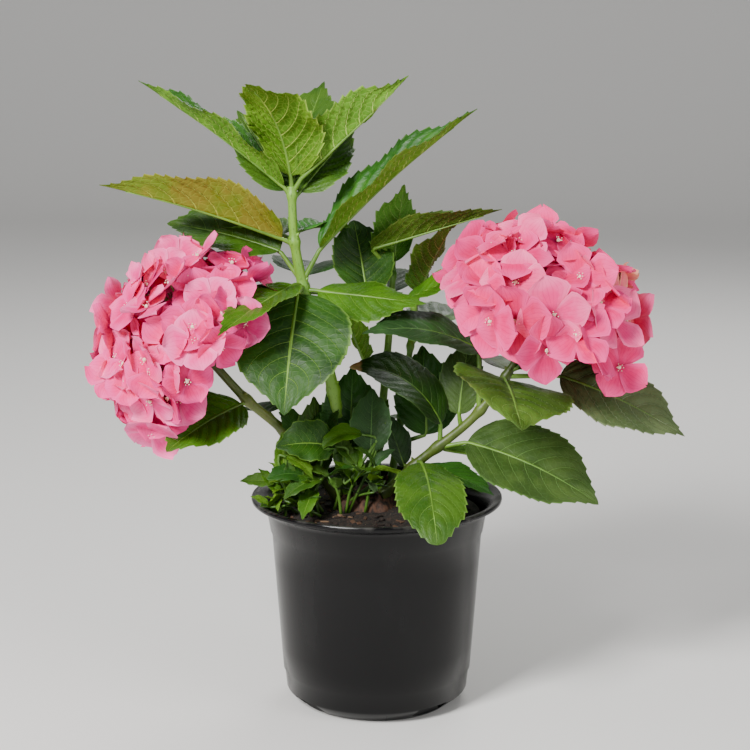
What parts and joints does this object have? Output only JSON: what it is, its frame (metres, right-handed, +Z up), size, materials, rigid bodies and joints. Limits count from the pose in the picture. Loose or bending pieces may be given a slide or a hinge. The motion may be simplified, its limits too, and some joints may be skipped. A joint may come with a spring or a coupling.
{
  "type": "potted hydrangea shrub",
  "caption": "Young mophead hydrangea in a tapered round nursery pot: green stems, broad toothed leaves and domed pink flower heads over a bed of soil.",
  "frame": {"origin": "middle of the flat underside of the pot, on the pot's own axis", "axes": "+Z up along the pot's axis; +Y away from the front view, +X to the right of it, towards the right flower head"},
  "size_m": [0.3924, 0.2356, 0.4269],
  "materials": {
    "pot_plastic": "black moulded polypropylene, satin",
    "potting_soil": "moist peat compost with bark bits, rough",
    "crown_bark": "rough fibrous bark",
    "stem_skin": "green shoot with fine speckles, satin",
    "leaf_blade": "living leaf, veined, satin",
    "flower_sepal": "thin soft sepals, matt"
  },
  "bodies": {
    "root": {"pot": "pot_plastic", "left_flower_head": "flower_sepal", "right_flower_head": "flower_sepal", "woody_crown": "crown_bark", "soil": "potting_soil", "main_shoot": "stem_skin", "left_flower_stem": "stem_skin", "right_flower_stem": "stem_skin", "back_shoot": "stem_skin", "back_right_shoot": "stem_skin", "leaf_top_left": "leaf_blade", "leaf_top_front": "leaf_blade", "leaf_top_back": "leaf_blade", "leaf_top_right": "leaf_blade", "leaf_top_back_right": "leaf_blade", "leaf_top_back_left": "leaf_blade", "leaf_upper_left": "leaf_blade", "leaf_upper_back": "leaf_blade", "leaf_middle_left": "leaf_blade", "leaf_upper_right": "leaf_blade", "leaf_front": "leaf_blade", "leaf_front_left": "leaf_blade", "leaf_front_right": "leaf_blade", "leaf_back_upright": "leaf_blade", "leaf_back_tip": "leaf_blade", "leaf_back_long": "leaf_blade", "leaf_head_back": "leaf_blade", "leaf_head_front": "leaf_blade", "leaf_shade_left": "leaf_blade", "leaf_shade_olive": "leaf_blade", "leaf_burnt_tip": "leaf_blade", "leaf_stem_front": "leaf_blade", "leaf_far_right": "leaf_blade", "leaf_under_head": "flower_sepal", "leaf_low_right": "leaf_blade", "leaf_low_right_small": "leaf_blade", "leaf_over_rim": "leaf_blade", "leaf_soil_right": "leaf_blade", "leaf_low_upright": "leaf_blade", "leaf_shade_right": "leaf_blade", "leaf_shade_middle": "leaf_blade", "leaf_shade_low": "leaf_blade", "leaf_shade_stem": "leaf_blade", "leaf_low_left": "leaf_blade", "leaf_rear_upper": "leaf_blade", "leaf_rear_middle": "leaf_blade", "leaf_rear_left": "leaf_blade", "leaf_rear_low": "leaf_blade", "leaf_rear_left_low": "leaf_blade", "leaf_rear_right": "leaf_blade", "leaf_rear_centre": "leaf_blade", "leaf_rear_right_low": "leaf_blade", "leaf_rear_stem": "leaf_blade", "leaf_rear_foot": "leaf_blade", "sprouts_left": "leaf_blade", "sprouts_middle": "leaf_blade", "sprouts_right": "leaf_blade"}
  },
  "joints": []
}
